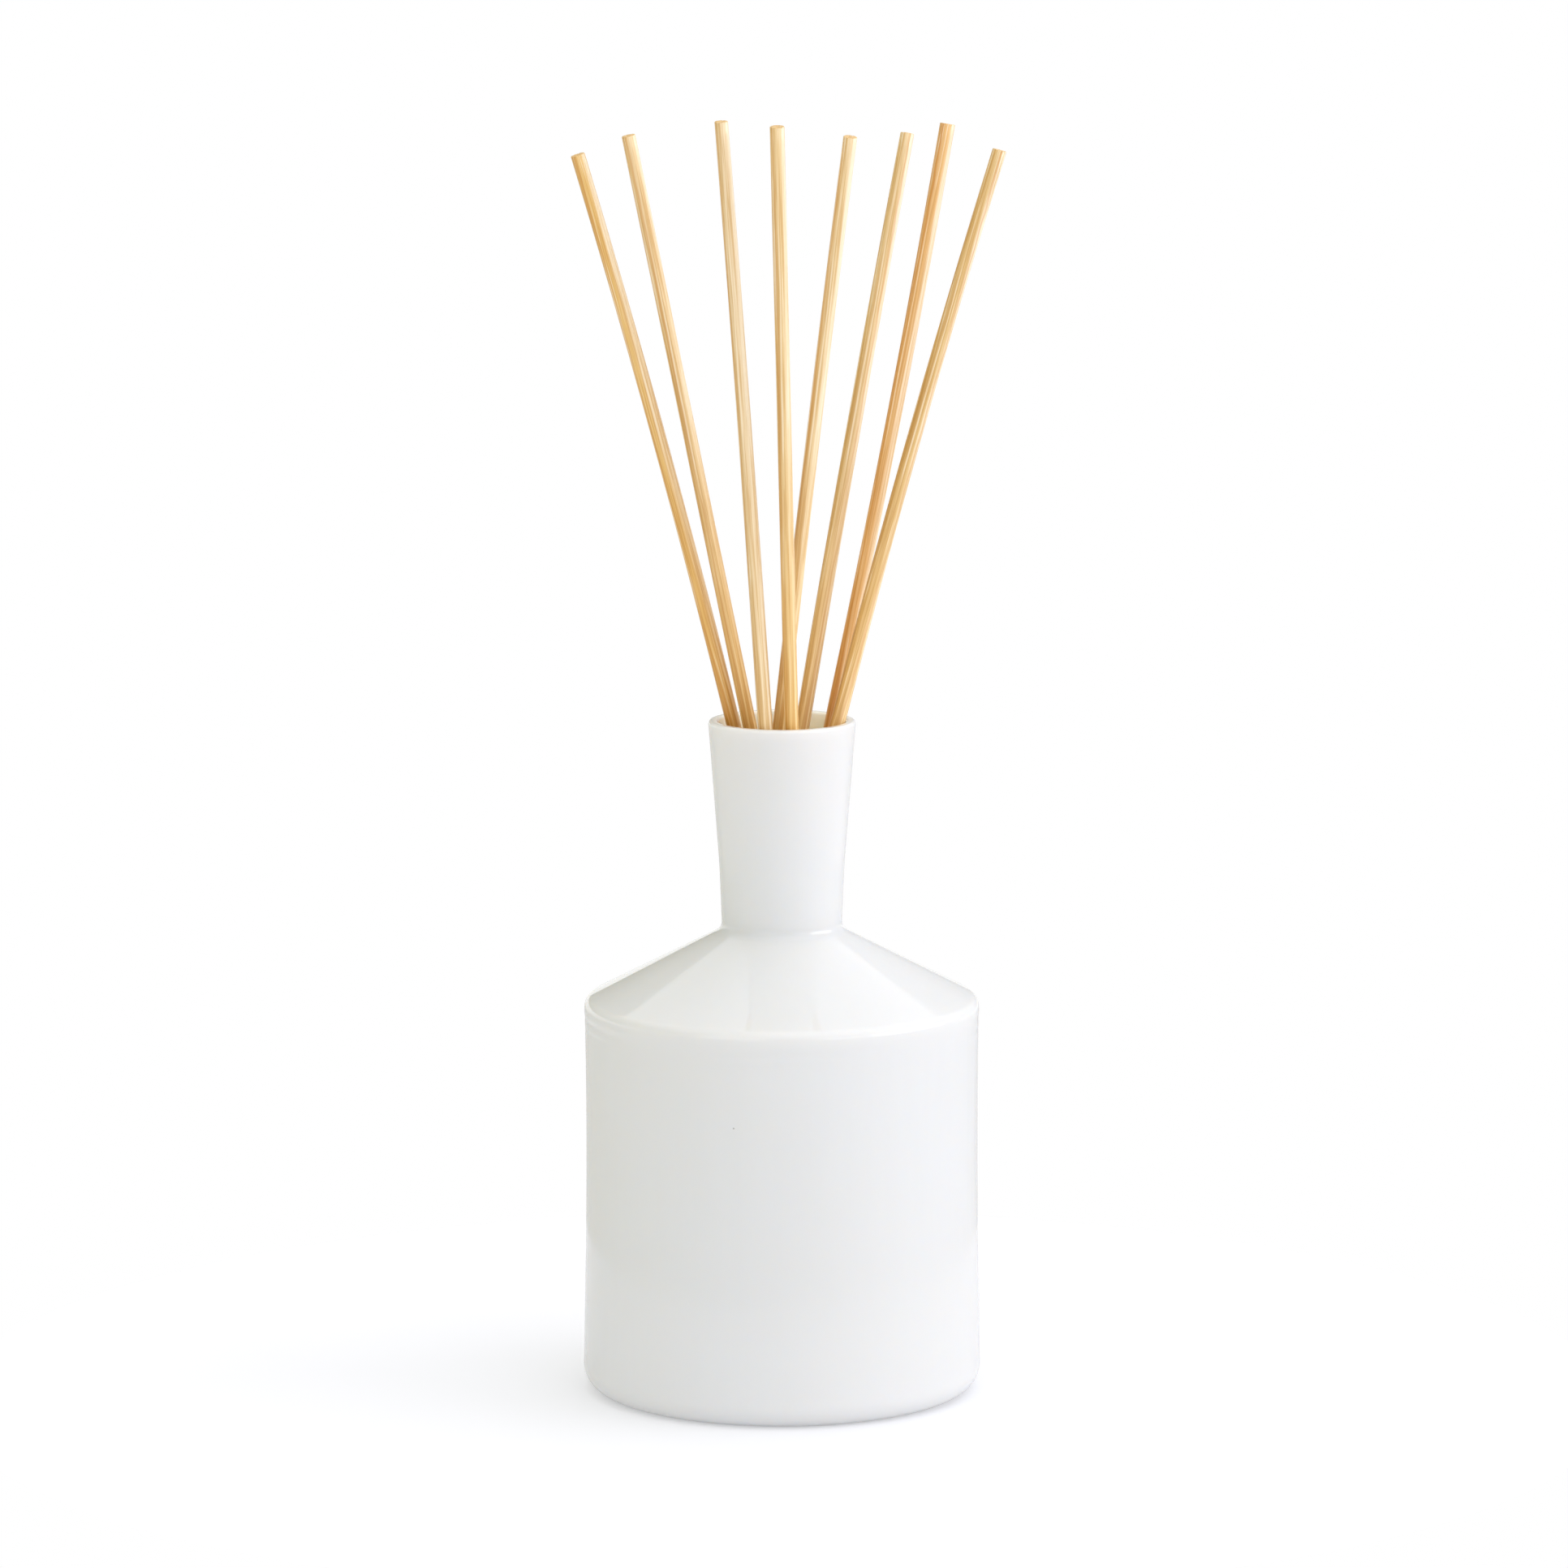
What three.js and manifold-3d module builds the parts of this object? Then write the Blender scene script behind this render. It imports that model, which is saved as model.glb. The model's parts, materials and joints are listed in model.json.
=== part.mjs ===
// A fragrance reed diffuser: an opal glass bottle, the fragrance oil in it, and eight reeds
// that stand on the bottle's floor, cross in its neck and fan out above the rim.
//
// Millimetres, +Z up. The origin is the middle of the bottle's base, on the surface that it
// stands on. +X is to the right and +Y is to the back.

import * as THREE from 'three';
import Module from 'manifold-3d';
import { mergeVertices } from 'three/addons/utils/BufferGeometryUtils.js';

const wasm = await Module();
wasm.setup();

// The bottle, outside.
const bottleHeight = 162.7;
const heelRadius = 47.95; // where the wall meets the base, before the heel is rounded
const heelFillet = 6;
const waistRadius = 46.85; // the wall draws in a little halfway up
const waistHeight = 60;
const waistFillet = 1500;
const shoulderRadius = 47.3;
const shoulderHeight = 95.1;
const shoulderFillet = 2.6;
const shoulderRise = 0.52; // the shoulder's rise for each millimetre towards the neck
const neckRadius = 14.35;
const neckFootFillet = 3;
const flareStartRadius = 15;
const flareStartHeight = 128;
const flareFillet = 80;
const rimRadius = 17.7;

// The base stands on a ring around a shallow push-up.
const standRadius = 36.5;
const pushUpRadius = 33;
const pushUpDepth = 1.2;
const pushUpFillet = 1.5;
const standFillet = 0.8;

// The glass.
const wallThickness = 3;
const neckWall = 2.4;
const floorHeight = 4.5;
const floorFillet = 6;
const innerShoulderFillet = 1.5;

// The oil.
const oilLevel = 78;
const clearance = 0.3; // between two pieces that touch

// The reeds.
const reedLength = 305;
const reedRadius = 1.7;
const reedSides = 12;

// Where each reed stands on the floor and where it passes the plane of the rim. The first
// fans out furthest to the left, the last furthest to the right.
const placements = [
  { foot: [30.2, 19.9], mouth: [-11.7, 3.4] },
  { foot: [23.6, 14.4], mouth: [-7.8, 0.3] },
  { foot: [7.5, 4.4], mouth: [-3.7, -12.5] },
  { foot: [6.1, 10.6], mouth: [2.4, -12.5] },
  { foot: [-19.0, 20.5], mouth: [-0.7, -5.6] },
  { foot: [-23.5, -25.5], mouth: [5.0, 3.4] },
  { foot: [-17.9, -8.2], mouth: [12.4, 3.3] },
  { foot: [-31.6, -3.8], mouth: [12.6, -1.6] },
];

// How finely round shapes are cut.
const turnSegments = 48;
const arcStep = THREE.MathUtils.degToRad(15);
const channelSides = 16;

const finishes = {
  glass: { color: 0xf0f0ee, roughness: 0.06, metalness: 0 },
  oil: { color: 0xe9cf8f, roughness: 0.05, metalness: 0 },
  reed: { color: 0xe3bc7d, roughness: 0.65, metalness: 0 },
};

const yAxis = new THREE.Vector3(0, 1, 0);

// Turns corners into an outline, each corner rounded by its own fillet.
function roundedOutline(corners) {
  const points = [];
  corners.forEach((corner, index) => {
    const tip = new THREE.Vector2(corner.r, corner.z);
    if (!corner.fillet) {
      points.push(tip);
      return;
    }
    const last = corners[index - 1];
    const next = corners[index + 1];
    const back = new THREE.Vector2(last.r, last.z).sub(tip).normalize();
    const ahead = new THREE.Vector2(next.r, next.z).sub(tip).normalize();
    const halfAngle = Math.acos(back.dot(ahead)) / 2;
    const bisector = back.clone().add(ahead).normalize();
    const centre = bisector.multiplyScalar(corner.fillet / Math.sin(halfAngle)).add(tip);
    const start = back.clone().multiplyScalar(corner.fillet / Math.tan(halfAngle)).add(tip);
    const turn = (Math.PI - 2 * halfAngle) * -Math.sign(back.cross(ahead));
    const steps = Math.max(2, Math.ceil(Math.abs(turn) / arcStep));
    for (let step = 0; step <= steps; step += 1) {
      points.push(start.clone().rotateAround(centre, (turn * step) / steps));
    }
  });
  return points;
}

// Turns an outline about the Z axis.
function turned(corners) {
  const geometry = new THREE.LatheGeometry(roundedOutline(corners), turnSegments);
  return geometry.rotateX(Math.PI / 2);
}

// The shoulder's height at a radius, with the surface moved inwards by a depth of glass.
function shoulderHeightAt(radius, depth) {
  const outside = shoulderHeight + shoulderRise * (shoulderRadius - radius);
  return outside - depth * Math.hypot(1, shoulderRise);
}

function toSolid(geometry) {
  const bare = geometry.clone();
  bare.deleteAttribute('normal');
  bare.deleteAttribute('uv');
  const merged = mergeVertices(bare, 1e-4);
  return new wasm.Manifold(
    new wasm.Mesh({
      numProp: 3,
      vertProperties: new Float32Array(merged.attributes.position.array),
      triVerts: new Uint32Array(merged.index.array),
    }),
  );
}

function toGeometry(solid) {
  const mesh = solid.getMesh();
  const geometry = new THREE.BufferGeometry();
  geometry.setAttribute('position', new THREE.BufferAttribute(mesh.vertProperties, 3));
  geometry.setIndex(new THREE.BufferAttribute(mesh.triVerts, 1));
  geometry.computeVertexNormals();
  return geometry;
}

// Works out a reed's axis: its direction, and the middle of its length. The lower edge of the
// square-cut foot stands on the floor, so a reed that leans more has its foot's centre higher.
function reedAxis({ foot, mouth }) {
  const run = Math.hypot(mouth[0] - foot[0], mouth[1] - foot[1]);
  const lean = Math.atan2(run, bottleHeight - floorHeight);
  const footHeight = floorHeight + clearance + reedRadius * Math.sin(lean);
  const start = new THREE.Vector3(foot[0], foot[1], footHeight);
  const direction = new THREE.Vector3(mouth[0], mouth[1], bottleHeight).sub(start).normalize();
  const middle = direction.clone().multiplyScalar(reedLength / 2).add(start);
  return { direction, middle };
}

// A straight rod along a reed's axis.
function rodAlong(axis, radius, length, sides) {
  const geometry = new THREE.CylinderGeometry(radius, radius, length, sides);
  const rod = new THREE.Mesh(geometry);
  rod.quaternion.setFromUnitVectors(yAxis, axis.direction);
  rod.position.copy(axis.middle);
  return rod;
}

function named(name, mesh, finish) {
  mesh.name = name;
  mesh.material = new THREE.MeshStandardMaterial(finish);
  return mesh;
}

function makeBottle() {
  const innerRadius = waistRadius - wallThickness;
  const innerNeckRadius = neckRadius - neckWall;
  const lipFillet = neckWall / 2;
  const outside = [
    { r: 0, z: pushUpDepth },
    { r: pushUpRadius, z: pushUpDepth, fillet: pushUpFillet },
    { r: standRadius, z: 0, fillet: standFillet },
    { r: heelRadius, z: 0, fillet: heelFillet },
    { r: waistRadius, z: waistHeight, fillet: waistFillet },
    { r: shoulderRadius, z: shoulderHeight, fillet: shoulderFillet },
    { r: neckRadius, z: shoulderHeightAt(neckRadius, 0), fillet: neckFootFillet },
    { r: flareStartRadius, z: flareStartHeight, fillet: flareFillet },
    { r: rimRadius, z: bottleHeight, fillet: lipFillet },
  ];
  const inside = [
    { r: rimRadius - neckWall, z: bottleHeight, fillet: lipFillet },
    { r: flareStartRadius - neckWall, z: flareStartHeight, fillet: flareFillet },
    {
      r: innerNeckRadius,
      z: shoulderHeightAt(innerNeckRadius, wallThickness),
      fillet: neckFootFillet + neckWall,
    },
    {
      r: innerRadius,
      z: shoulderHeightAt(innerRadius, wallThickness),
      fillet: innerShoulderFillet,
    },
    { r: innerRadius, z: floorHeight, fillet: floorFillet },
    { r: 0, z: floorHeight },
  ];
  return new THREE.Mesh(turned([...outside, ...inside]));
}

function makeReed(placement) {
  return rodAlong(reedAxis(placement), reedRadius, reedLength, reedSides);
}

// The oil fills the bottle up to its level, around the reeds that stand in it.
function makeOil() {
  const oilRadius = waistRadius - wallThickness - clearance;
  const body = turned([
    { r: 0, z: floorHeight + clearance },
    { r: oilRadius, z: floorHeight + clearance, fillet: floorFillet },
    { r: oilRadius, z: oilLevel },
    { r: 0, z: oilLevel },
  ]);
  const channelRadius = (reedRadius + clearance) / Math.cos(Math.PI / channelSides);
  let liquid = toSolid(body);
  placements.forEach((placement) => {
    const channel = rodAlong(reedAxis(placement), channelRadius, reedLength * 1.1, channelSides);
    channel.updateMatrixWorld();
    channel.geometry.applyMatrix4(channel.matrixWorld);
    liquid = liquid.subtract(toSolid(channel.geometry));
  });
  return new THREE.Mesh(toGeometry(liquid));
}

const group = new THREE.Group();
group.add(named('bottle', makeBottle(), finishes.glass));
group.add(named('fragrance_oil', makeOil(), finishes.oil));
placements.forEach((placement, index) => {
  group.add(named(`reed_${index + 1}`, makeReed(placement), finishes.reed));
});

export default group;
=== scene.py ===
"""Looks of a fragrance reed diffuser: an opal glass bottle, the oil in it and eight rattan reeds.

Everything is in metres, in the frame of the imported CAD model: Z is up, and the bottle stands on z = 0.
Outlines are worked out in millimetres, as (radius, height, fillet), and turned about the Z axis. Reeds are
worked out in millimetres too, each along its own z axis.
"""

import json
import math

import bpy
import numpy as np
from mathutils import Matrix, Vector


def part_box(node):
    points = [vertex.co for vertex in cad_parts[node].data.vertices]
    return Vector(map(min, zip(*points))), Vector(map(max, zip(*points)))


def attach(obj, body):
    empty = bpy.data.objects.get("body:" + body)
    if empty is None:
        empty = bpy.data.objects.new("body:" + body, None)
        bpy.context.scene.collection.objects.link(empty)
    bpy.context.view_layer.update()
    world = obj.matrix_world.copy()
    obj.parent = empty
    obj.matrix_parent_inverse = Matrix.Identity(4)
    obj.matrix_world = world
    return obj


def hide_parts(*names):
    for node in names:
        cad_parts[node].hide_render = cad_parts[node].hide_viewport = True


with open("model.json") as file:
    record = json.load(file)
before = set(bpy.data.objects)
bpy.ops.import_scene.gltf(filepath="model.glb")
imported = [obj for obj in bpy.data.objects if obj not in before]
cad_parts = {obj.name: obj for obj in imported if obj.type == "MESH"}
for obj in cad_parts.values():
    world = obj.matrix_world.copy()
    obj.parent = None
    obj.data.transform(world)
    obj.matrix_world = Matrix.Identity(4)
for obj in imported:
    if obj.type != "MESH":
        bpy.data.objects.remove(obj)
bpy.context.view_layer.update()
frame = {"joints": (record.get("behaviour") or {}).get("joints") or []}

MM = 0.001
TURN = 2 * math.pi

# ---- driving dimensions, in millimetres, with the same names as in the CAD source ----
BOTTLE_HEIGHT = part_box("bottle")[1].z / MM
HEEL_RADIUS = 47.95
HEEL_FILLET = 6
WAIST_RADIUS = 46.85
WAIST_HEIGHT = 60
WAIST_FILLET = 1500
SHOULDER_RADIUS = 47.3
SHOULDER_HEIGHT = 95.1
SHOULDER_FILLET = 2.6
SHOULDER_RISE = 0.52
NECK_RADIUS = 14.35
NECK_FOOT_FILLET = 3
FLARE_START_RADIUS = 15
FLARE_START_HEIGHT = 128
FLARE_FILLET = 80
RIM_RADIUS = 17.7
STAND_RADIUS = 36.5
PUSH_UP_RADIUS = 33
PUSH_UP_DEPTH = 1.2
PUSH_UP_FILLET = 1.5
STAND_FILLET = 0.8
WALL = 3
NECK_WALL = 2.4
LIP_FILLET = 0.7
FLOOR_HEIGHT = 4.5
FLOOR_FILLET = 6
INNER_SHOULDER_FILLET = 1.5
OIL_LEVEL = 78
CLEARANCE = 0.3
REED_RADIUS = 1.7

# ---- fineness of the turned meshes ----
TURN_SEGMENTS = 192
ARC_STEP = math.radians(5)
LONGEST_STEP = 3.0          # millimetres between points of an outline, so that the glass can wave
RIDGE_STEP = 0.4            # the same near the ridge of the shoulder, where the bead and wrinkles are
RIDGE_BAND = 9.0            # how far above and below the ridge that is, in millimetres


# ---- meshes ----

def mesh_piece(name, points, faces, material):
    """A smooth-shaded object at the origin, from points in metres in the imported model's frame."""
    mesh = bpy.data.meshes.new(name)
    mesh.from_pydata([tuple(point) for point in points], [], faces)
    mesh.polygons.foreach_set("use_smooth", [True] * len(mesh.polygons))
    mesh.materials.append(material)
    mesh.update()
    piece = bpy.data.objects.new(name, mesh)
    bpy.context.scene.collection.objects.link(piece)
    return piece


def point_attribute(piece, name, values):
    """Stores a number or a vector for each point of the piece, for its material to read."""
    kind, field = ("FLOAT", "value") if values.ndim == 1 else ("FLOAT_VECTOR", "vector")
    attribute = piece.data.attributes.new(name, kind, "POINT")
    attribute.data.foreach_set(field, values.astype(np.float32).ravel())


def tube_faces(rings, sides):
    """Faces of a tube of rings whose ends close on the first and the last point."""
    faces = []
    last = 1 + rings * sides
    top = 1 + (rings - 1) * sides
    for side in range(sides):
        beside = (side + 1) % sides
        faces.append((0, 1 + beside, 1 + side))
        faces.append((last, top + side, top + beside))
        for ring in range(rings - 1):
            low = 1 + ring * sides
            high = low + sides
            faces.append((low + side, low + beside, high + beside, high + side))
    return faces


def straight_points(start, end):
    """Points from start towards end, without end, closer together near the ridge of the shoulder."""
    points = []
    span = (end - start).length
    gone = 0.0
    while gone < span:
        point = start.lerp(end, gone / span)
        points.append(point)
        near_ridge = abs(point.y - SHOULDER_HEIGHT) < RIDGE_BAND
        gone += RIDGE_STEP if near_ridge else LONGEST_STEP
    return points


def fillet_points(centre, start, end, sweep, fillet):
    """Points along the arc of that sweep from start towards end, without end."""
    points = []
    steps = max(math.ceil(sweep / ARC_STEP), math.ceil(sweep * fillet / LONGEST_STEP), 1)
    spoke_from = start - centre
    spoke_to = end - centre
    for step in range(steps):
        share = step / steps
        part_from = spoke_from * math.sin((1 - share) * sweep)
        part_to = spoke_to * math.sin(share * sweep)
        points.append(centre + (part_from + part_to) / math.sin(sweep))
    return points


def rounded_outline(corners):
    """The outline through corners (radius, height, fillet), as (radius, height) points.

    Each corner but the first and the last is rounded with an arc of its fillet's radius.
    """
    places = [Vector((radius, height)) for radius, height, _ in corners]
    outline = []
    here = places[0]
    for index in range(1, len(corners) - 1):
        corner = places[index]
        fillet = corners[index][2]
        back = (places[index - 1] - corner).normalized()
        ahead = (places[index + 1] - corner).normalized()
        half_angle = back.angle(ahead) / 2
        reach = fillet / math.tan(half_angle)
        centre = corner + (back + ahead).normalized() * (fillet / math.sin(half_angle))
        start = corner + back * reach
        end = corner + ahead * reach
        outline += straight_points(here, start)
        outline += fillet_points(centre, start, end, math.pi - 2 * half_angle, fillet)
        here = end
    outline += straight_points(here, places[-1])
    outline.append(places[-1])
    return outline


def turned(name, outline, material, unevenness):
    """A closed body turned about the Z axis.

    The outline runs from the axis, round the body, back to the axis. unevenness(angle, radius, height) says
    how far out of round the body is there.
    """
    angles = [TURN * step / TURN_SEGMENTS for step in range(TURN_SEGMENTS)]
    points = [Vector((0, 0, outline[0].y))]
    for radius, height in outline[1:-1]:
        for angle in angles:
            reach = radius + unevenness(angle, radius, height)
            points.append(Vector((reach * math.cos(angle), reach * math.sin(angle), height)))
    points.append(Vector((0, 0, outline[-1].y)))
    faces = tube_faces(len(outline) - 2, TURN_SEGMENTS)
    return mesh_piece(name, [point * MM for point in points], faces, material)


# ---- shader nodes ----

class Nodes:
    """A material's or world's node tree, with short calls to add and link nodes."""

    def __init__(self, owner):
        owner.use_nodes = True
        self.tree = owner.node_tree
        self.shader = self.tree.nodes.get("Principled BSDF")

    def add(self, kind, inputs=(), **settings):
        """Adds a node of the kind, with its inputs fed and its settings set."""
        node = self.tree.nodes.new("ShaderNode" + kind)
        for name, value in settings.items():
            setattr(node, name, value)
        for name, value in dict(inputs).items():
            self.feed(node.inputs[name], value)
        return node

    def feed(self, socket, value):
        """Links another node's output to the socket, or sets the socket to a plain value."""
        if isinstance(value, bpy.types.NodeSocket):
            self.tree.links.new(value, socket)
        else:
            socket.default_value = value

    def shade(self, **values):
        """Feeds the Principled shader's sockets, such as Base_Color or Roughness."""
        for name, value in values.items():
            self.feed(self.shader.inputs[name.replace("_", " ")], value)

    def math(self, operation, first, second=0.0):
        return self.add("Math", {0: first, 1: second}, operation=operation).outputs[0]

    def mapped(self, value, start, end, low=0.0, high=1.0):
        """The value mapped smoothly from start..end to low..high."""
        inputs = {"Value": value, "From Min": start, "From Max": end, "To Min": low, "To Max": high}
        node = self.add("MapRange", inputs, interpolation_type="SMOOTHSTEP")
        return node.outputs["Result"]

    def mapped_evenly(self, value, start, end):
        """The value mapped in a straight line from start..end to 0..1."""
        return self.add("MapRange", {"Value": value, "From Min": start, "From Max": end}).outputs["Result"]

    def mix(self, share, first, second, blend="MIX"):
        node = self.add("Mix", data_type="RGBA", blend_type=blend)
        self.feed(node.inputs["Factor"], share)
        self.feed(node.inputs[6], first)
        self.feed(node.inputs[7], second)
        return node.outputs[2]

    def noise(self, vector, scale, detail):
        return self.add("TexNoise", {"Vector": vector, "Scale": scale, "Detail": detail}).outputs["Fac"]

    def drawn_noise(self, vector, scale, stretch, detail):
        """Noise drawn out along z to stretch times its width, as streaks and fibres are."""
        drawn = self.add("Mapping", {"Vector": vector, "Scale": (1, 1, 1 / stretch)}).outputs["Vector"]
        return self.noise(drawn, scale, detail)

    def specks(self, vector, scale, share, core, edge):
        """1 in round specks and 0 between them: one speck in that share of the cells of a Voronoi pattern.

        A speck is full to core from the cell's middle and gone at edge, as parts of a cell.
        """
        cells = self.add("TexVoronoi", {"Vector": vector, "Scale": scale})
        number = self.add("SeparateColor", {"Color": cells.outputs["Color"]}).outputs[0]
        chosen = self.math("GREATER_THAN", number, 1 - share)
        speck = self.mapped(cells.outputs["Distance"], core, edge, 1.0, 0.0)
        return self.math("MULTIPLY", speck, chosen)

    def ramp(self, value, stops):
        """Colours by value: stops is a list of (position, colour), from position 0 to position 1."""
        node = self.add("ValToRGB", {"Fac": value})
        elements = node.color_ramp.elements
        for position, colour in stops[1:-1]:
            elements.new(position).color = rgba(colour)
        elements[0].color = rgba(stops[0][1])
        elements[-1].color = rgba(stops[-1][1])
        return node.outputs["Color"]


def rgba(colour):
    return (*colour, 1.0)


def srgb(red, green, blue):
    """A linear colour from the 0..255 values that a screen shows."""
    def linear(value):
        share = value / 255
        return share / 12.92 if share <= 0.04045 else ((share + 0.055) / 1.055) ** 2.4
    return (linear(red), linear(green), linear(blue))


# ---- opal glass bottle ----

GLASS = (0.727, 0.734, 0.737)
GLASS_STREAK = (0.745, 0.752, 0.755)
GLASS_CLOUD = (0.736, 0.739, 0.735)
GLASS_SPECK = (0.42, 0.42, 0.40)
# The inner face's colour is painted light: it is lighter than the glass, against the shade inside the bottle,
# and warm as if lit by light bounced off the oil and reeds.
INNER_GLASS_PAINTED_LIGHT = (0.93, 0.88, 0.78)

RIDGE_BEAD = 0.1            # how far the bead at the ridge of the shoulder stands out, in millimetres
RIDGE_BEAD_REACH = 1.6      # how far above and below the ridge it fades
RIDGE_WRINKLE = 0.05        # how far the wrinkles under it stand out
RIDGE_WRINKLE_PITCH = 3.0

# Slow waves in the glass, as (number round the body, depth, phase at z = 0, height over which the phase
# grows by a radian).
WAVES = [
    (2, 0.05, 0.6, 38),
    (3, 0.035, 2.1, -24),
    (5, 0.02, 4.0, 15),
]


def opal_glass():
    """Glossy opal glass with faint drawn streaks, clouds and rare specks, and painted light on its inner
    face, which is a lighter, warmer cream.
    """
    material = bpy.data.materials.new("opal_glass")
    nodes = Nodes(material)
    place = nodes.add("TexCoord").outputs["Object"]
    streaks = nodes.drawn_noise(place, scale=260, stretch=12.5, detail=3)
    clouds = nodes.noise(place, scale=22, detail=2)
    tone = nodes.mix(streaks, rgba(GLASS), rgba(GLASS_STREAK))
    tone = nodes.mix(nodes.mapped(clouds, 0.35, 0.7), tone, rgba(GLASS_CLOUD))
    specks = nodes.specks(place, scale=95, share=0.1, core=0.02, edge=0.035)
    tone = nodes.mix(specks, tone, rgba(GLASS_SPECK))
    inside = nodes.add("Attribute", attribute_name="inner_face").outputs["Fac"]
    # Painted light on the inner face: lighter and warmer than the outside.
    tone = nodes.mix(inside, tone, rgba(INNER_GLASS_PAINTED_LIGHT))
    ripple = nodes.noise(place, scale=45, detail=1)
    bump = nodes.add("Bump", {"Height": ripple, "Strength": 0.06, "Distance": 0.0004})
    nodes.shade(
        Base_Color=tone,
        Roughness=nodes.mapped(clouds, 0.3, 0.7, 0.015, 0.035),
        IOR=1.5,
        Normal=bump.outputs["Normal"],
        Subsurface_Weight=0.8,
        Subsurface_Radius=(1.0, 0.85, 0.7),
        Subsurface_Scale=0.004,
    )
    return material


def shoulder_height_at(radius, depth=0):
    """Height of the sloping shoulder, or of its inner face, which lies that depth under it."""
    slant = math.hypot(1, SHOULDER_RISE)
    return SHOULDER_HEIGHT + (SHOULDER_RADIUS - radius) * SHOULDER_RISE - depth * slant


def bottle_outline():
    """The outside from the push-up to the rim, over the lip, and down the inside to the floor."""
    inner_neck = NECK_RADIUS - NECK_WALL
    inner_body = WAIST_RADIUS - WALL
    return rounded_outline([
        (0, PUSH_UP_DEPTH, 0),
        (PUSH_UP_RADIUS, PUSH_UP_DEPTH, PUSH_UP_FILLET),
        (STAND_RADIUS, 0, STAND_FILLET),
        (HEEL_RADIUS, 0, HEEL_FILLET),
        (WAIST_RADIUS, WAIST_HEIGHT, WAIST_FILLET),
        (SHOULDER_RADIUS, SHOULDER_HEIGHT, SHOULDER_FILLET),
        (NECK_RADIUS, shoulder_height_at(NECK_RADIUS), NECK_FOOT_FILLET),
        (FLARE_START_RADIUS, FLARE_START_HEIGHT, FLARE_FILLET),
        (RIM_RADIUS, BOTTLE_HEIGHT, LIP_FILLET),
        (RIM_RADIUS - NECK_WALL, BOTTLE_HEIGHT, LIP_FILLET),
        (FLARE_START_RADIUS - NECK_WALL, FLARE_START_HEIGHT, FLARE_FILLET),
        (inner_neck, shoulder_height_at(inner_neck, WALL), NECK_FOOT_FILLET + NECK_WALL),
        (inner_body, shoulder_height_at(inner_body, WALL), INNER_SHOULDER_FILLET),
        (inner_body, FLOOR_HEIGHT, FLOOR_FILLET),
        (0, FLOOR_HEIGHT, 0),
    ])


def blown_unevenness(angle, radius, height):
    """How far the glass stands out from a true turned body, in millimetres.

    Slow waves are left by blowing. A low bead runs round the ridge of the shoulder, where the mould closed,
    with small wrinkles under it that come and go.
    """
    waves = 0.0
    for number, depth, phase, rise in WAVES:
        waves += depth * math.sin(number * angle + phase + height / rise)
    below_ridge = SHOULDER_HEIGHT - SHOULDER_FILLET - height
    bead = RIDGE_BEAD * math.exp(-(below_ridge / RIDGE_BEAD_REACH) ** 2)
    wrinkle_depth = RIDGE_WRINKLE * (0.5 + 0.5 * math.sin(4 * angle + 1.2)) ** 2
    wrinkle_fade = math.exp(-((below_ridge - RIDGE_WRINKLE_PITCH) / RIDGE_WRINKLE_PITCH) ** 2)
    wrinkles = wrinkle_depth * wrinkle_fade * math.cos(TURN * below_ridge / RIDGE_WRINKLE_PITCH)
    return (waves + bead + wrinkles) * radius / HEEL_RADIUS


def make_bottle():
    outline = bottle_outline()
    bottle = turned("opal_bottle", outline, opal_glass(), blown_unevenness)
    lip_ring = max(range(len(outline)), key=lambda ring: outline[ring].y)
    on_inside = np.zeros(len(bottle.data.vertices))
    on_inside[1 + lip_ring * TURN_SEGMENTS:] = 1
    point_attribute(bottle, "inner_face", on_inside)
    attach(bottle, "bottle")
    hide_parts("bottle")


# ---- oil ----

OIL = (0.90, 0.66, 0.30)
PALE_OIL = (0.94, 0.76, 0.42)
MENISCUS_HEIGHT = 1.4       # how far the oil climbs the glass
MENISCUS_TIP = 0.4          # how thick it is at the top of that climb
MENISCUS_TIP_FILLET = 0.15
MENISCUS_BEND = 0.9         # how far from the glass the climb turns steep
MENISCUS_BEND_HEIGHT = 0.25
MENISCUS_BEND_FILLET = 0.8
MENISCUS_REACH = 3.2        # how far from the glass the oil is level again
MENISCUS_FILLET = 2.5


def amber_oil():
    """Clear golden oil, with thin slow swirls of colour."""
    material = bpy.data.materials.new("amber_oil")
    nodes = Nodes(material)
    place = nodes.add("TexCoord").outputs["Object"]
    swirls = nodes.noise(place, scale=60, detail=3)
    tone = nodes.mix(swirls, rgba(OIL), rgba(PALE_OIL))
    nodes.shade(Base_Color=tone, Roughness=0.03, IOR=1.45, Transmission_Weight=0.6)
    return material


def make_oil():
    """The oil fills the bottle to its level, and climbs the glass in a small meniscus."""
    radius = WAIST_RADIUS - WALL - CLEARANCE
    bottom = FLOOR_HEIGHT + CLEARANCE
    crest = OIL_LEVEL + MENISCUS_HEIGHT
    outline = rounded_outline([
        (0, bottom, 0),
        (radius, bottom, FLOOR_FILLET - CLEARANCE),
        (radius, crest, MENISCUS_TIP_FILLET),
        (radius - MENISCUS_TIP, crest, MENISCUS_TIP_FILLET),
        (radius - MENISCUS_BEND, OIL_LEVEL + MENISCUS_BEND_HEIGHT, MENISCUS_BEND_FILLET),
        (radius - MENISCUS_REACH, OIL_LEVEL, MENISCUS_FILLET),
        (0, OIL_LEVEL, 0),
    ])
    oil = turned("amber_oil", outline, amber_oil(), lambda angle, radius, height: 0)
    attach(oil, "bottle")
    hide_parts("fragrance_oil")


# ---- reeds ----

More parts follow.
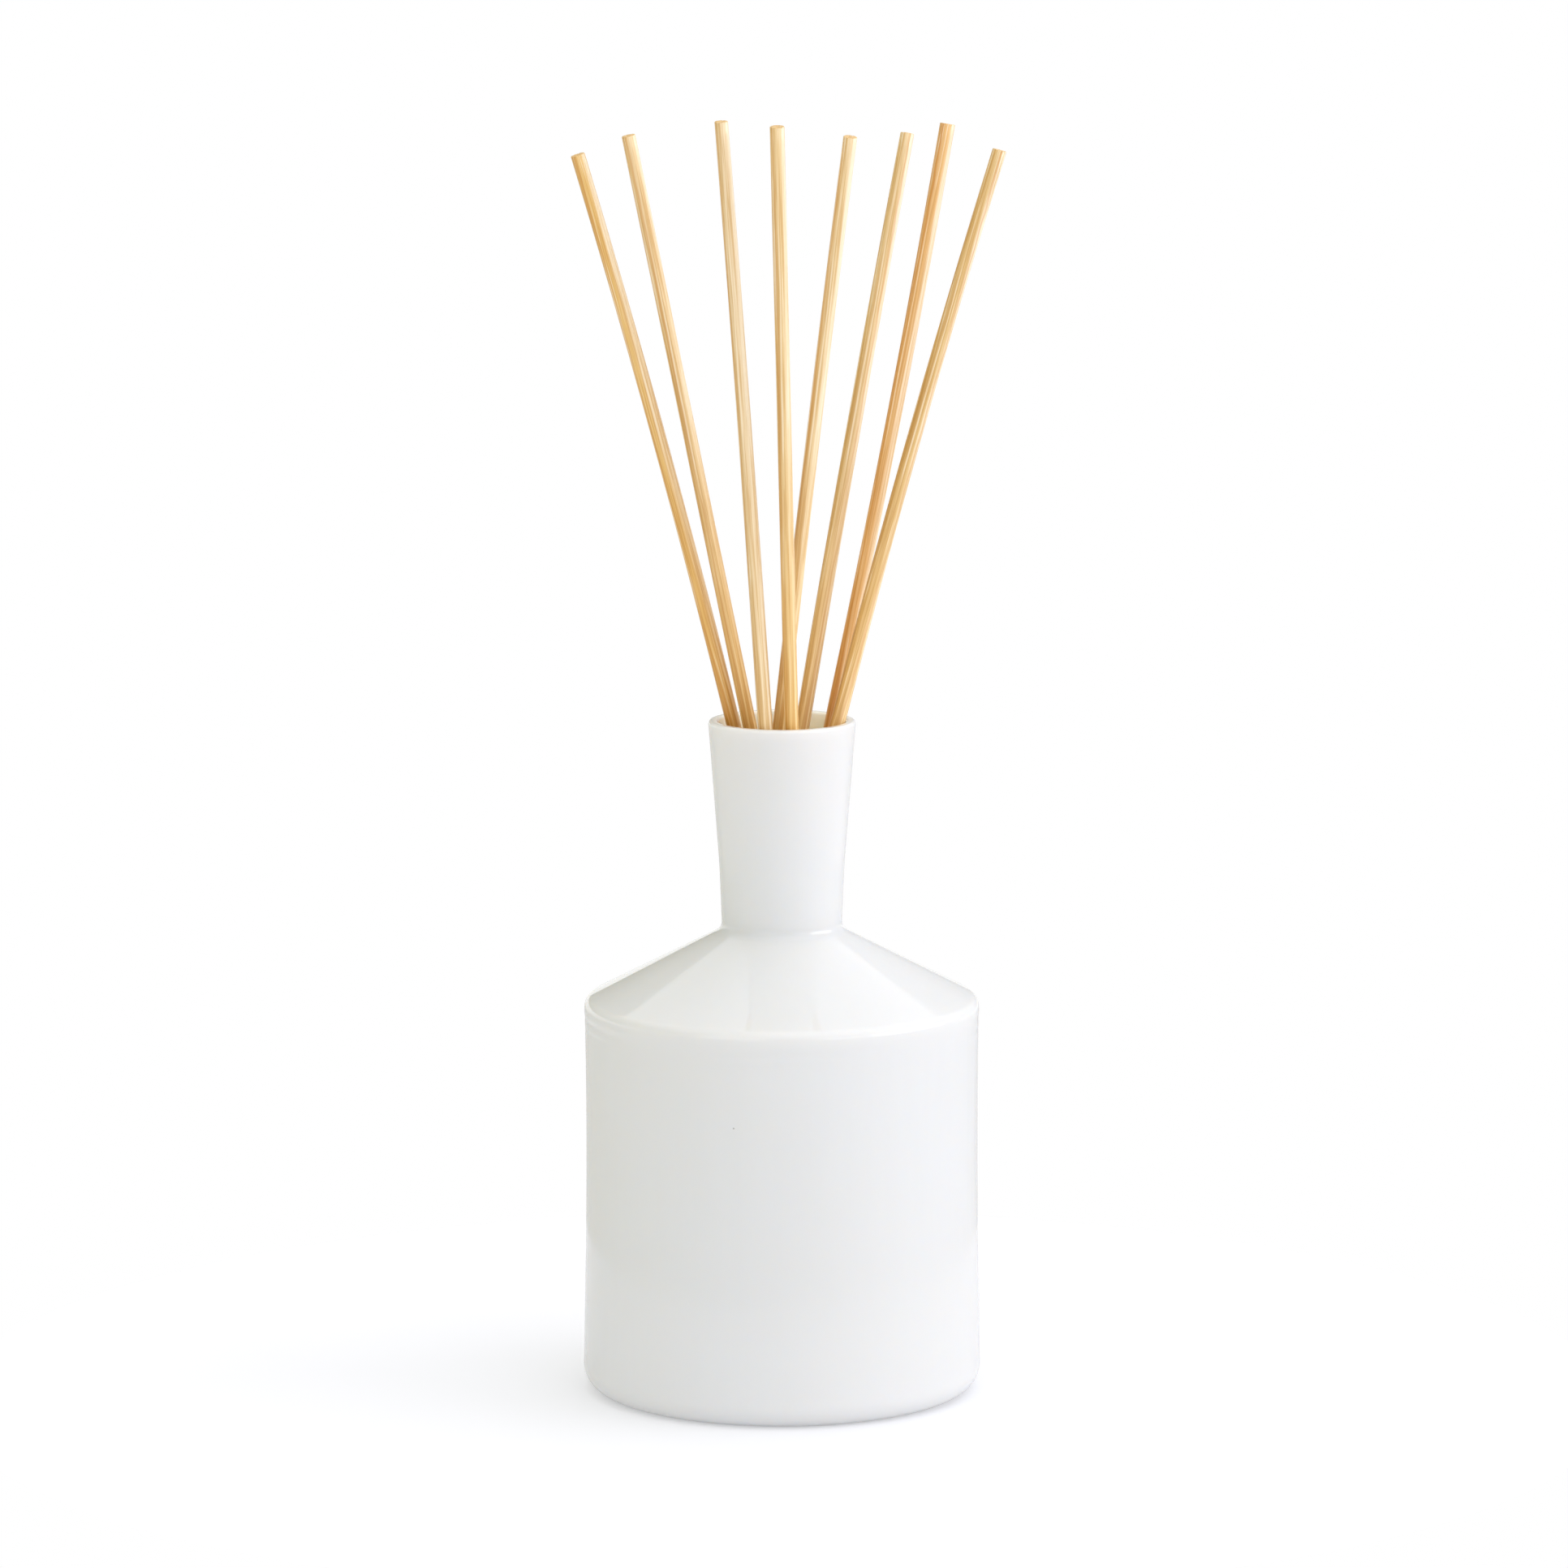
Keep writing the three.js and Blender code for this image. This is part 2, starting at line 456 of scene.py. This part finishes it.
REED_SIDES = 90
REED_RINGS = 90
REED_SEED = 40              # a reed's random draws start from this and its own number
CUT_RINGS = 12
CUT_EDGE = 0.14             # how far a cut end's edge is rounded off
PORES = 26                  # in each cut end
PORE_DEPTH = 0.16
GROOVES = 22                # on each reed
GROOVE_FADE = 0.06          # share of the reed's length over which a groove's end fades out
BOW_CREST = 238             # where along a reed its bow is greatest
BOW_START = (138, 168)      # the bow grows from nothing between these places, near the mouth
THICKNESS_DRIFT = 0.02      # share by which a reed's thickness drifts along it
SECTION_TWIST = 1.2         # how far its slightly oval section turns from its foot to its top, in radians
SOAKED = (150, 240)         # oil has soaked a reed up to the first of these places, and fades by the second

# Each reed's own look.
# bow: how far it stands to the right of its straight line at its crest, in millimetres, and how far above and
#     below the crest it is back on that line.
# swell: how much thicker it is at its foot than at its top, as a share.
# wood: its colour, in the 0..255 values that a screen shows.
# soak: how far oil has darkened its lower part, from 0 to 1.
# streak: the side of a dark line, in turns from the right by the back, so that 0.75 is the front, and its
#     strength.
REED_LOOKS = {
    "reed_1": dict(bow=(0.72, 63), swell=0.0, wood=(226, 184, 108), soak=0.7, streak=(0.67, 0.5)),
    "reed_2": dict(bow=(-0.2, 500), swell=0.06, wood=(231, 200, 148), soak=1.0, streak=(0.68, 0.4)),
    "reed_3": dict(bow=(0.1, 45), swell=0.09, wood=(233, 207, 163), soak=0.25, streak=(0.6, 0.3)),
    "reed_4": dict(bow=(-0.12, 500), swell=0.02, wood=(231, 200, 145), soak=0.9, streak=(0.64, 0.3)),
    "reed_5": dict(bow=(-0.08, 36), swell=0.12, wood=(231, 202, 152), soak=1.0, streak=(0.62, 0.3)),
    "reed_6": dict(bow=(-0.18, 52), swell=0.02, wood=(232, 203, 152), soak=0.75, streak=(0.83, 0.4)),
    "reed_7": dict(bow=(0.5, 58), swell=-0.06, wood=(228, 180, 112), soak=0.25, streak=(0.66, 0.8)),
    "reed_8": dict(bow=(-0.25, 36), swell=0.0, wood=(220, 184, 121), soak=0.7, streak=(0.86, 0.5)),
}
# Pale wood: the colour of pale fibres and bands, and also painted light on the right side of each reed, where
# the key light falls.
PALE_WOOD_AND_PAINTED_LIGHT = srgb(253, 241, 216)
STREAKED_WOOD = srgb(206, 140, 62)
WOOD_SPECK = srgb(150, 98, 52)
CUT_WOOD = srgb(228, 190, 128)
PORE_BOTTOM = srgb(168, 118, 66)

# What the reed's own colour is multiplied by where it looks darker: the first is painted shade on the left
# side of each reed, away from the key light; the others are for dark fibres and oil-soaked wood.
PAINTED_SHADE_WOOD = (0.85, 0.76, 0.57)
DARK_FIBRE = (0.85, 0.74, 0.57)
OILY_WOOD = (1.0, 0.85, 0.53)


def fibre_tone(nodes, place, across, wood):
    """The reed's colour, with painted shade on its left side and painted light on its right side, where the
    key light falls, and with pale and dark fibres.
    """
    fine = nodes.drawn_noise(place, scale=1.9, stretch=70, detail=3)
    broad = nodes.drawn_noise(place, scale=0.8, stretch=40, detail=2)
    # Painted shade: the left side of each reed is darker, away from the key light.
    painted_shade_side = nodes.mapped(across, -1.5, -0.2, 1.0, 0.0)
    # Painted light: the right side of each reed is paler, towards the key light.
    painted_light_side = nodes.mapped(across, 0.2, 1.6, 0.0, 0.5)
    pale_bands = nodes.mapped(broad, 0.5, 0.7, 0.0, 0.12)
    dark_fibres = nodes.mapped(fine, 0.42, 0.50, 1.0, 0.0)
    pale_fibres = nodes.mapped(fine, 0.54, 0.61, 0.0, 0.45)
    tone = nodes.mix(painted_shade_side, rgba(wood), rgba(PAINTED_SHADE_WOOD), blend="MULTIPLY")
    tone = nodes.mix(painted_light_side, tone, rgba(PALE_WOOD_AND_PAINTED_LIGHT))
    tone = nodes.mix(pale_bands, tone, rgba(PALE_WOOD_AND_PAINTED_LIGHT))
    tone = nodes.mix(dark_fibres, tone, rgba(DARK_FIBRE), blend="MULTIPLY")
    tone = nodes.mix(pale_fibres, tone, rgba(PALE_WOOD_AND_PAINTED_LIGHT))
    roughness = nodes.mapped(fine, 0.3, 0.7, 0.44, 0.32)
    return tone, roughness


def streak_mask(nodes, place, turn, side, strength):
    """How strong a dark line is, all over the reed.

    It runs along one side, wanders a little, and breaks off here and there.
    """
    wander = nodes.math("SUBTRACT", nodes.noise(place, scale=0.12, detail=1), 0.5)
    wander = nodes.math("MULTIPLY", wander, 0.5)
    off_line = nodes.math("SUBTRACT", nodes.math("ADD", turn, wander), TURN * side - TURN)
    line = nodes.mapped(nodes.math("ABSOLUTE", off_line), 0.05, 0.2, strength, 0.0)
    breaks = nodes.drawn_noise(place, scale=0.5, stretch=25, detail=2)
    return nodes.math("MULTIPLY", line, nodes.mapped(breaks, 0.35, 0.55))


def pored_wood(nodes, place):
    """The colour of a cut end, with dark open pores."""
    cells = nodes.add("TexVoronoi", {"Vector": place, "Scale": 2.2})
    pore = nodes.mapped(cells.outputs["Distance"], 0.12, 0.3, 1.0, 0.0)
    return nodes.mix(pore, rgba(CUT_WOOD), rgba(PORE_BOTTOM))


def rattan(name, look):
    """Rattan cane: long fibres in pale and deep tones, painted shade on its left side and painted light on
    its right, a dark line, an oil-soaked foot, specks and pores.

    The mesh carries each point's place along and across its own reed, in millimetres, as "reed_place", and
    says which points are on a cut end as "cut_face".
    """
    material = bpy.data.materials.new(name)
    nodes = Nodes(material)
    place = nodes.add("Attribute", attribute_name="reed_place").outputs["Vector"]
    cut = nodes.add("Attribute", attribute_name="cut_face").outputs["Fac"]
    across, behind, along = nodes.add("SeparateXYZ", {"Vector": place}).outputs
    turn = nodes.math("ARCTAN2", behind, across)
    tone, roughness = fibre_tone(nodes, place, across, srgb(*look["wood"]))
    soaked = nodes.mapped(along, *SOAKED, look["soak"], 0.0)
    tone = nodes.mix(soaked, tone, rgba(OILY_WOOD), blend="MULTIPLY")
    tone = nodes.mix(streak_mask(nodes, place, turn, *look["streak"]), tone, rgba(STREAKED_WOOD))
    specks = nodes.specks(place, scale=0.3, share=0.08, core=0.05, edge=0.08)
    tone = nodes.mix(specks, tone, rgba(WOOD_SPECK))
    tone = nodes.mix(cut, tone, pored_wood(nodes, place))
    grain = nodes.drawn_noise(place, scale=4.5, stretch=60, detail=3)
    bump = nodes.add("Bump", {"Height": grain, "Strength": 0.5, "Distance": 0.00006})
    nodes.shade(
        Base_Color=tone,
        Roughness=roughness,
        Specular_IOR_Level=0.6,
        Normal=bump.outputs["Normal"],
    )
    return material


def groove_pattern(random, angles, shares):
    """Depth of the lengthwise grooves between fibres, in millimetres, for each ring and side.

    Each groove wanders round the reed by up to a quarter of a radian, and starts and ends somewhere along it.
    """
    depth = np.zeros((len(shares), len(angles)))
    for _ in range(GROOVES):
        middle = random.uniform(0, TURN)
        wander = random.uniform(-0.25, 0.25)
        phase = random.uniform(0, TURN)
        centre = middle + wander * np.sin(TURN * shares * 0.4 + phase)
        width = random.uniform(0.07, 0.16)
        deepest = random.uniform(0.02, 0.07)
        start = random.uniform(-0.3, 0.8)
        stretch = random.uniform(0.25, 0.8)
        fade = np.clip(np.minimum(shares - start, start + stretch - shares) / GROOVE_FADE, 0, 1)
        gap = (angles[None, :] - centre[:, None] + math.pi) % TURN - math.pi
        depth += (deepest * fade)[:, None] * np.exp(-(gap / width) ** 2)
    return depth


def bow_at(look, along):
    """How far a bowed reed stands to the right of its straight line, in millimetres."""
    crest, reach = look["bow"]
    start, end = BOW_START
    grown = np.clip((along - start) / (end - start), 0, 1)
    return crest * (1 - ((along - BOW_CREST) / reach) ** 2) * grown ** 2 * (3 - 2 * grown)


def reed_rings(random, look, length):
    """A reed's body along its own z axis from 0 to length, as rings of (x, y, z) points in millimetres."""
    angles = np.arange(REED_SIDES) * TURN / REED_SIDES
    along = np.linspace(CUT_EDGE, length - CUT_EDGE, REED_RINGS)
    shares = along / length
    ovality = random.uniform(0.01, 0.03)
    lean = random.uniform(0, TURN)
    drift = THICKNESS_DRIFT * np.sin(TURN * shares * random.uniform(0.8, 1.6) + random.uniform(0, TURN))
    thickness = 1 + look["swell"] * (0.5 - shares) + drift
    section = 1 + ovality * np.cos(2 * (angles[None, :] - lean + SECTION_TWIST * shares[:, None]))
    radius = REED_RADIUS * thickness[:, None] * section - groove_pattern(random, angles, shares)
    x = radius * np.cos(angles) + bow_at(look, along)[:, None]
    y = radius * np.sin(angles)
    z = along[:, None] * np.ones_like(x)
    return np.stack([x, y, z], axis=2)


def pore_places(random):
    """Each open pore's reach from the middle, as a share of the reed's radius, its turn, and its size."""
    pores = []
    for _ in range(PORES):
        reach = random.uniform(0, 0.85) ** 0.5
        turn = random.uniform(0, TURN)
        size = random.uniform(0.1, 0.19)
        pores.append((reach, turn, size))
    return pores


def cut_end(random, ring, outward):
    """Rings from a reed's last ring, over its softened edge, towards the middle of the cut, and that middle.

    Open pores are sunk in the cut. A pore is flat to 0.4 of its size and gone at 1.4.
    """
    centre = ring.mean(axis=0)
    pores = pore_places(random)
    slant = random.uniform(-0.03, 0.03)
    rings = []
    for step in range(CUT_RINGS):
        shrink = (1 - step / CUT_RINGS) * (1 - CUT_EDGE / REED_RADIUS)
        loop = centre + (ring - centre) * shrink
        sunk = np.zeros(len(loop))
        for reach, turn, size in pores:
            pore = centre[:2] + REED_RADIUS * reach * np.array([math.cos(turn), math.sin(turn)])
            gap = np.hypot(*(loop[:, :2] - pore).T)
            sunk = np.maximum(sunk, PORE_DEPTH * np.clip(1.4 - gap / size, 0, 1))
        loop[:, 2] += outward * (CUT_EDGE - sunk) + slant * (loop[:, 0] - centre[0])
        rings.append(loop)
    middle = centre + np.array([0, 0, outward * CUT_EDGE])
    return rings, middle


def reed_frame(node, axis):
    """Foot, length and two sideways axes of a reed.

    The reed runs along its joint's axis, through the middle of its node's box.
    """
    low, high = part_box(node)
    spread = 2 * REED_RADIUS * MM * math.sqrt(1 - axis.z ** 2)
    length = (high.z - low.z - spread) / axis.z
    foot = (low + high) / 2 - axis * length / 2
    right = Vector((0, 1, 0)).cross(axis).normalized()
    return foot, length, right, axis.cross(right)


def make_reed(node, axis):
    look = REED_LOOKS[node]
    name = "rattan_" + node
    random = np.random.default_rng(REED_SEED + int(node[-1]))
    foot, length, right, behind = reed_frame(node, axis)
    body = reed_rings(random, look, length / MM)
    top_rings, top_middle = cut_end(random, body[-1], 1)
    low_rings, low_middle = cut_end(random, body[0], -1)
    rings = [*reversed(low_rings), *body, *top_rings]
    local = np.vstack([low_middle[None], *rings, top_middle[None]])
    points = np.array(foot) + MM * local @ np.array([right, behind, axis])
    piece = mesh_piece(name, points, tube_faces(len(rings), REED_SIDES), rattan(name, look))
    on_cut = np.zeros(len(local))
    on_cut[:1 + CUT_RINGS * REED_SIDES] = 1
    on_cut[-1 - CUT_RINGS * REED_SIDES:] = 1
    point_attribute(piece, "reed_place", local)
    point_attribute(piece, "cut_face", on_cut)
    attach(piece, node)
    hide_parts(node)


# ---- floor ----

FLOOR = (0.62, 0.625, 0.655)
FLOOR_RADIUS = 0.2
FLOOR_SIDES = 96
FLOOR_GLOW = 0.22           # how much light the floor gives the object
FLOOR_GLOW_SEEN = 0.335     # how much the camera sees


def make_floor():
    """A pale disc that glows a little, as a light table does, so that shadows on it stay pale."""
    material = bpy.data.materials.new("pale_floor")
    nodes = Nodes(material)
    seen = nodes.add("LightPath").outputs["Is Camera Ray"]
    nodes.shade(
        Base_Color=rgba(FLOOR),
        Roughness=0.9,
        Specular_IOR_Level=0.0,
        Emission_Color=rgba((1.0, 1.0, 1.0)),
        Emission_Strength=nodes.mapped(seen, 0.0, 1.0, FLOOR_GLOW, FLOOR_GLOW_SEEN),
    )
    angles = [TURN * side / FLOOR_SIDES for side in range(FLOOR_SIDES)]
    rim = [Vector((math.cos(angle), math.sin(angle), 0)) * FLOOR_RADIUS for angle in angles]
    floor = mesh_piece("pale_floor", rim, [tuple(range(FLOOR_SIDES))], material)


# ---- studio light ----

# The light of each part of the room, from its left to its right, as (place from 0 to 1, colour).
BACK_WALL = [
    (0.0, (0.36, 0.35, 0.20)),
    (0.45, (0.36, 0.34, 0.26)),
    (0.53, (0.68, 0.68, 0.68)),
    (1.0, (0.74, 0.76, 0.82)),
]
FRONT_WALL = [
    (0.0, (0.42, 0.41, 0.20)),
    (0.2, (0.55, 0.54, 0.40)),
    (0.5, (0.68, 0.68, 0.73)),
    (1.0, (0.82, 0.83, 0.89)),
]
CEILING = [
    (0.0, (0.86, 0.85, 0.73)),
    (0.35, (1.10, 1.10, 1.05)),
    (0.5, (1.42, 1.42, 1.46)),
    (1.0, (1.18, 1.18, 1.20)),
]
NEAR_GROUND = [
    (0.0, (0.95, 0.94, 0.88)),
    (0.5, (1.04, 1.04, 1.06)),
    (1.0, (1.05, 1.05, 1.10)),
]
FAR_GROUND = [
    (0.0, (0.70, 0.69, 0.60)),
    (0.5, (0.74, 0.74, 0.74)),
    (1.0, (0.76, 0.76, 0.78)),
]
HORIZON = (1.08, 1.08, 1.06)

# Where one part of the room turns into the next, as heights that are shares of the distance.
FAR_GROUND_START = (-0.24, -0.20)
HORIZON_START = (-0.13, -0.10)
WALLS_START = (0.09, -0.05)     # on the left and on the right
CEILING_START = (0.55, 0.60)

# Soft lights that stand round the object. Each is (turn from the front towards the right, height above the
# horizon, half width, half height), all in degrees, and its colour and strength.
SOFTBOXES = [
    ((82, 15, 26, 9), (4.9, 4.8, 4.8)),
    ((-31, 5, 18, 4), (2.6, 2.6, 2.6)),
    ((-31, 22, 18, 5), (2.6, 2.6, 2.6)),
    ((33, 14, 13, 5), (2.6, 2.6, 2.65)),
]
SOFTBOX_EDGE = 0.03             # how soft a softbox's outline is, as a tangent


def softbox_mask(nodes, direction, place):
    """1 inside a softbox and 0 outside it, by direction."""
    turn, rise, half_width, half_height = [math.radians(degrees) for degrees in place]
    ahead = Vector((math.sin(turn) * math.cos(rise), -math.cos(turn) * math.cos(rise), math.sin(rise)))
    side = Vector((math.cos(turn), math.sin(turn), 0))

    def reach_along(axis):
        return nodes.add("VectorMath", {0: direction, 1: axis}, operation="DOT_PRODUCT").outputs["Value"]

    depth = reach_along(ahead)
    mask = nodes.math("GREATER_THAN", depth, 0.0)
    for axis, half_angle in ((side, half_width), (side.cross(ahead), half_height)):
        slope = nodes.math("ABSOLUTE", nodes.math("DIVIDE", reach_along(axis), depth))
        edge = math.tan(half_angle)
        inside = nodes.mapped(slope, edge - SOFTBOX_EDGE, edge + SOFTBOX_EDGE, 1.0, 0.0)
        mask = nodes.math("MULTIPLY", mask, inside)
    return mask


def room_light(nodes, direction):
    """The colour of the room's light by direction: ground, horizon, walls and ceiling, and the softboxes."""
    x, y, z = nodes.add("SeparateXYZ", {"Vector": direction}).outputs
    across = nodes.mapped_evenly(x, -1.0, 1.0)
    back, front, ceiling, near_ground, far_ground = [
        nodes.ramp(across, stops) for stops in (BACK_WALL, FRONT_WALL, CEILING, NEAR_GROUND, FAR_GROUND)
    ]
    walls = nodes.mix(nodes.mapped(y, -0.2, 0.2), front, back)
    above_walls_start = nodes.math("SUBTRACT", z, nodes.mapped(x, -0.12, 0.12, *WALLS_START))
    light = nodes.mix(nodes.mapped(z, *FAR_GROUND_START), near_ground, far_ground)
    light = nodes.mix(nodes.mapped(z, *HORIZON_START), light, rgba(HORIZON))
    light = nodes.mix(nodes.mapped(above_walls_start, -0.01, 0.01), light, walls)
    light = nodes.mix(nodes.mapped(z, *CEILING_START), light, ceiling)
    for place, colour in SOFTBOXES:
        light = nodes.mix(softbox_mask(nodes, direction, place), light, rgba(colour))
    return light


def make_studio_light():
    """Light from all round the object. The camera sees plain white behind it."""
    world = bpy.data.worlds.new("studio")
    bpy.context.scene.world = world
    nodes = Nodes(world)
    nodes.tree.nodes.clear()
    direction = nodes.add("TexCoord").outputs["Generated"]
    room = nodes.add("Background", {"Color": room_light(nodes, direction), "Strength": 1.0})
    seen = nodes.add("Background", {"Color": (1, 1, 1, 1), "Strength": 1.0})
    ray = nodes.add("LightPath").outputs["Is Camera Ray"]
    both = nodes.add("MixShader", {0: ray, 1: room.outputs[0], 2: seen.outputs[0]})
    output = nodes.add("OutputWorld", {"Surface": both.outputs[0]})
    output.is_active_output = True


# ---- camera ----

CAMERA_PITCH = math.radians(9)
CAMERA_DISTANCE = 1.8805
CAMERA_AIM = Vector((0.0005, 0, 0.1472))
CAMERA_LENS = 180.6


def make_camera():
    """A long lens from the front, looking slightly down."""
    camera = bpy.data.objects.new("camera", bpy.data.cameras.new("camera"))
    camera.data.lens = CAMERA_LENS
    camera.data.sensor_width = 36
    camera.data.clip_start = 0.05
    back = Vector((0, -math.cos(CAMERA_PITCH), math.sin(CAMERA_PITCH)))
    camera.location = CAMERA_AIM + CAMERA_DISTANCE * back
    camera.rotation_euler = (math.pi / 2 - CAMERA_PITCH, 0, 0)
    bpy.context.scene.collection.objects.link(camera)
    bpy.context.scene.camera = camera


bpy.context.scene.view_settings.view_transform = "Standard"
make_camera()
make_studio_light()
make_floor()
make_bottle()
make_oil()
for joint in frame["joints"]:
    make_reed(joint["child"], Vector(joint["axis"]).normalized())
